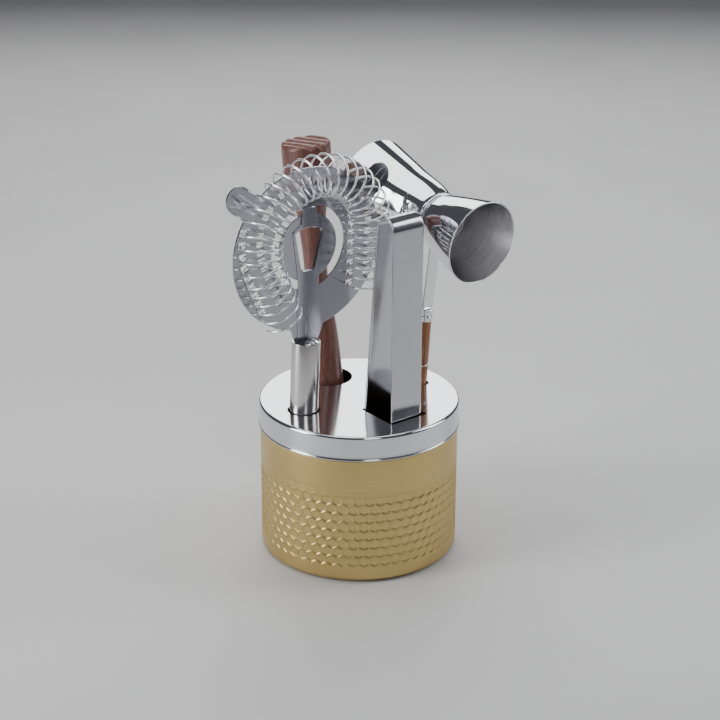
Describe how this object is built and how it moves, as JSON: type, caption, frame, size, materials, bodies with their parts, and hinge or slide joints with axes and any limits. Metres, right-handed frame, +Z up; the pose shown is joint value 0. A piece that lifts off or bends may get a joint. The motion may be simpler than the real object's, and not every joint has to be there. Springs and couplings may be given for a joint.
{
  "type": "bar tool set in a caddy",
  "caption": "Round honeycomb caddy with a slip-over lid holding a spring strainer, a muddler, spring tongs and a double jigger",
  "frame": {"origin": "centre of the caddy's base, on the surface it stands on", "axes": "+Z up, -Y towards the front, where the strainer and the tongs stand, +X to the right as seen from the front"},
  "size_m": [0.1499, 0.1319, 0.2326],
  "materials": {
    "gold_cup": "gold-coloured, finely brushed",
    "pad": "matt",
    "lid_steel": "mirror polished",
    "plate_steel": "satin polished",
    "spring_steel": "bright wire",
    "tube_steel": "satin polished",
    "dark_wood": "oiled reddish hardwood",
    "tongs_steel": "polished strip",
    "jigger_steel": "mirror outside, brushed inside",
    "ring_steel": "polished",
    "grip_wood": "oiled reddish hardwood",
    "band_metal": "bright"
  },
  "bodies": {
    "holder": {"cup_shell": "gold_cup", "base_pad": "pad"},
    "lid": {"lid": "lid_steel"},
    "strainer": {"strainer_plate": "plate_steel", "strainer_spring": "spring_steel", "strainer_tube": "tube_steel", "strainer_tube_plug": "tube_steel", "strainer_tube_cap": "tube_steel"},
    "muddler": {"muddler": "dark_wood"},
    "tongs": {"tongs_bow": "tongs_steel"},
    "tongs_near": {"tongs_near_leg": "tongs_steel"},
    "tongs_far": {"tongs_far_leg": "tongs_steel"},
    "jigger": {"jigger_large_cup": "jigger_steel", "jigger_small_cup": "jigger_steel", "jigger_waist_ring": "ring_steel", "jigger_arm": "jigger_steel", "jigger_ferrule_upper": "ring_steel", "jigger_ferrule_lower": "ring_steel", "jigger_grip": "grip_wood", "jigger_grip_band": "band_metal", "jigger_grip_cap": "ring_steel"}
  },
  "joints": [
    {"name": "lid_lift", "type": "slide", "parent": "holder", "child": "lid", "axis": [0, 0, 1], "range_m": [0, 0.09]},
    {"name": "strainer_lift", "type": "slide", "parent": "lid", "child": "strainer", "axis": [0.0384, 0.0105, 0.9992], "range_m": [0, 0.09]},
    {"name": "muddler_lift", "type": "slide", "parent": "lid", "child": "muddler", "axis": [-0.0732, 0.0227, 0.9971], "range_m": [0, 0.09]},
    {"name": "tongs_lift", "type": "slide", "parent": "lid", "child": "tongs", "axis": [0.0286, -0.0366, 0.9989], "range_m": [0, 0.09]},
    {"name": "jigger_lift", "type": "slide", "parent": "lid", "child": "jigger", "axis": [0.0558, -0.0035, 0.9984], "range_m": [0, 0.09]},
    {"name": "near_leg_squeeze", "type": "hinge", "parent": "tongs", "child": "tongs_near", "pos_m": [0.02104, -0.02539, 0.19309], "axis": [0.7883, 0.6152, 0], "range_deg": [0, 1.85], "stiffness_Nm_per_rad": 2},
    {"name": "far_leg_squeeze", "type": "hinge", "parent": "tongs", "child": "tongs_far", "pos_m": [0.02104, -0.02539, 0.19309], "axis": [-0.7883, -0.6152, 0], "range_deg": [0, 1.85], "stiffness_Nm_per_rad": 2}
  ],
  "couplings": [
    {"joint": "far_leg_squeeze", "follows": "near_leg_squeeze", "ratio": 1}
  ]
}
